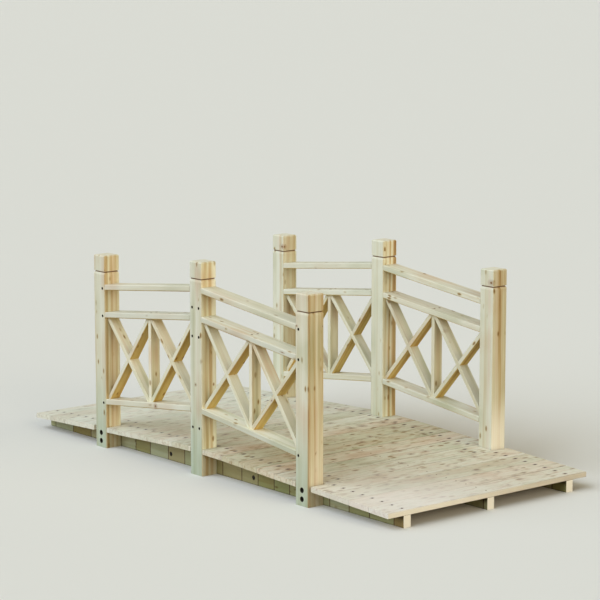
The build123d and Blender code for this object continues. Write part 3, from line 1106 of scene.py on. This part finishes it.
def on_plank(index, offset, y):
    """Where a nail stands: on the plank's upper face, at right angles to it."""
    centre = index * PLANK_PITCH
    slope = math.copysign(FLANK_ANGLE, centre)
    if abs(centre) < CROWN_END:
        slope = math.asin(centre / CROWN_RADIUS)
    beyond = max(0.0, abs(centre) - CROWN_END)
    height = ARCH_TOP - CROWN_RADIUS * (1 - math.cos(slope)) - beyond * math.tan(FLANK_ANGLE)
    seat = Matrix.Translation((centre, 0, height)) @ Matrix.Rotation(slope, 4, "Y")
    return seat @ Matrix.Translation((offset, y, PLANK_THICKNESS))


outer_places, middle_places = [], []
for index in range(-LAST_PLANK, LAST_PLANK + 1):
    outer = NOTCHED_ROWS if abs(index) == NOTCHED else NAIL_ROWS
    for offset in (-NAIL_FROM_MIDDLE, NAIL_FROM_MIDDLE):
        outer_places += [on_plank(index, offset, -outer), on_plank(index, offset, outer)]
        middle_places.append(on_plank(index, offset, 0.0))
copies(nail_model(**OUTER_NAIL), outer_places, "deck_nails")
copies(nail_model(**MIDDLE_NAIL), middle_places, "middle_nails")

# %% [markdown]
# Rail nails
#
# Two nails come down through each middle rail into the upright under it. They
# are the same nails, a little larger, and lean with the rail.

# %% Rail nails
BAY_MIDDLE = 218.5 * MM  # where an upright stands, from the bridge's middle
RAILING = 318 * MM  # the middle line of a railing, from the bridge's middle line
RAIL_RUN, RAIL_DROP = 387 * MM, 44 * MM  # from the middle post to an end post
RAIL_START, RAIL_START_TOP = 25 * MM, 427.75 * MM  # at the middle post's face
RAIL_SLOPE = math.atan2(RAIL_DROP, RAIL_RUN)
RAIL_TOP = RAIL_START_TOP - RAIL_DROP * (BAY_MIDDLE - RAIL_START) / RAIL_RUN
BESIDE = 9.5 * MM  # each nail of a pair, from the railing's middle line
RAIL_NAIL = {"radius": 3.2 * MM, "proud": 0.4 * MM, "finish": DUSTY_STEEL}

places = []
for end in (-1, 1):
    for side in (-1, 1):
        for beside in (-BESIDE, BESIDE):
            spot = Matrix.Translation((end * BAY_MIDDLE, side * RAILING + beside, RAIL_TOP))
            places.append(spot @ Matrix.Rotation(end * RAIL_SLOPE, 4, "Y"))
copies(nail_model(**RAIL_NAIL), places, "rail_nails")

# %% [markdown]
# Screws in the posts
#
# Each rail is held by screws driven through the outer face of a post. The head
# lies 5 mm down its hole, so that little more than its shade is seen. It is a
# pan head: the rim is bevelled round, and a cross-shaped recess is cut with a
# Boolean modifier.

# %% One screw
SCREW_RADIUS, SCREW_LENGTH = 3.1 * MM, 3 * MM
SCREW_ROUNDING = 0.9 * MM


def cross_cutter(width, length, depth):
    """A plus-shaped block, to cut the recess of a screw head at z = 0."""
    bpy.ops.mesh.primitive_cube_add(size=1.0, location=(0, 0, 0))
    cutter = bpy.context.object
    cutter.scale = (width, width, 2 * depth)
    bpy.ops.object.transform_apply(scale=True)
    pick(cutter, lambda centre, normal: abs(normal.z) < 0.5)
    bpy.ops.mesh.extrude_faces_move(TRANSFORM_OT_shrink_fatten={"value": (length - width) / 2})
    leave_edit()
    return cutter


def screw_model():
    """The head of a screw, looking up, with its top at z = 0."""
    screw = start_cylinder("screw", 24, SCREW_RADIUS, SCREW_LENGTH)
    pick(screw, looks_up)
    bpy.ops.mesh.bevel(offset=SCREW_ROUNDING, segments=3, affect="EDGES")
    leave_edit()
    cutter = cross_cutter(width=0.8 * MM, length=3.2 * MM, depth=1.2 * MM)
    cut = screw.modifiers.new("recess", "BOOLEAN")
    cut.operation, cut.object, cut.solver = "DIFFERENCE", cutter, "EXACT"
    choose(screw)
    bpy.ops.object.modifier_apply(modifier="recess")
    bpy.data.objects.remove(cutter)
    return finished(screw, BLACK_STEEL)


print("screw ready, head", round(2 * SCREW_RADIUS / MM, 1), "mm wide")

# %% Post screws
POST_SPACING = 437 * MM  # from the middle posts to the end posts
SCREW_SUNK = 5 * MM


def on_face(x, y, z, side):
    """Turns a fastener made along Z to look out of a face on the given side."""
    return Matrix.Translation((x, y, z)) @ Matrix.Rotation(math.radians(-90 * side), 4, "X")


places = []
for side in (-1, 1):
    y = side * (OUTER_FACE - SCREW_SUNK)
    for z in SCREW_HEIGHTS:
        for x in (-POST_SPACING + SCREW_OFF, -SCREW_OFF, SCREW_OFF, POST_SPACING - SCREW_OFF):
            places.append(on_face(x, y, z, side))
copies(screw_model(), places, "post_screws")

# %% [markdown]
# Bolts
#
# Two bolts hold each end post to its stringer, with their heads at the bottom
# of a wide pocket. The lower one goes right through and has its nut behind the
# stringer, the upper one bites into the wood. Two more go through each outer
# stringer into the cross braces. A hexagon head starts as a six-sided cylinder
# whose top is inset and raised twice, and it stands on a round washer. A nut is
# the same shape with the end of its bolt drawn out of the middle.

# %% One bolt or nut
WASHER = 1.0 * MM  # thickness


def hex_head(name, across_flats, height, washer_radius, bolt_end=0.0):
    """A hexagon head on its washer, looking up, with its top at z = 0."""
    head = start_cylinder(name, 6, across_flats / math.sqrt(3), height)
    pick(head, looks_up)
    bpy.ops.mesh.inset(thickness=0.10 * across_flats)
    shift_up(0.06 * across_flats)
    bpy.ops.mesh.inset(thickness=0.08 * across_flats)
    if bolt_end:
        bpy.ops.mesh.extrude_region_move(TRANSFORM_OT_translate={"value": (0, 0, bolt_end)})
        bpy.ops.mesh.bevel(offset=0.08 * across_flats, segments=1, affect="EDGES")
    leave_edit()
    washer = start_cylinder(name + "_washer", 32, washer_radius, WASHER, -height)
    pick(washer, looks_up)
    bpy.ops.mesh.bevel(offset=0.25 * MM, segments=2, affect="EDGES")
    leave_edit()
    choose(head, washer)
    bpy.ops.object.join()
    return finished(head, BLACK_STEEL, smooth_below=30)


print("hexagon head ready, washer", WASHER / MM, "mm thick")

# %% Bolts and nuts
CORNERS = [(side, end) for side in (-1, 1) for end in (-1, 1)]
BOLT_TOP = OUTER_FACE - 11 * MM  # deep in its pocket
STRINGER_OUTSIDE, STRINGER_INSIDE = 293 * MM, 270 * MM
BRACE_BOLT_TOP = STRINGER_OUTSIDE - 3.4 * MM  # just inside its hole
NUT_TOP = STRINGER_INSIDE - 5 * MM

places = [
    on_face(end * POST_SPACING, side * BOLT_TOP, z, side)
    for side, end in CORNERS for z in BOLT_HEIGHTS
]
copies(hex_head("bolt", 8 * MM, 4 * MM, 6.4 * MM), places, "post_bolts")

places = [
    on_face(end * BRACE_SPACING / 2, side * BRACE_BOLT_TOP, BRACE_BOLT_HEIGHT, side)
    for side, end in CORNERS
]
copies(hex_head("brace_bolt", 8 * MM, 3.6 * MM, 5.6 * MM), places, "brace_bolts")

places = [
    on_face(end * POST_SPACING, side * NUT_TOP, BOLT_HEIGHTS[0], -side)
    for side, end in CORNERS
]
copies(hex_head("nut", 9 * MM, 4 * MM, 6.4 * MM, bolt_end=3 * MM), places, "stringer_nuts")
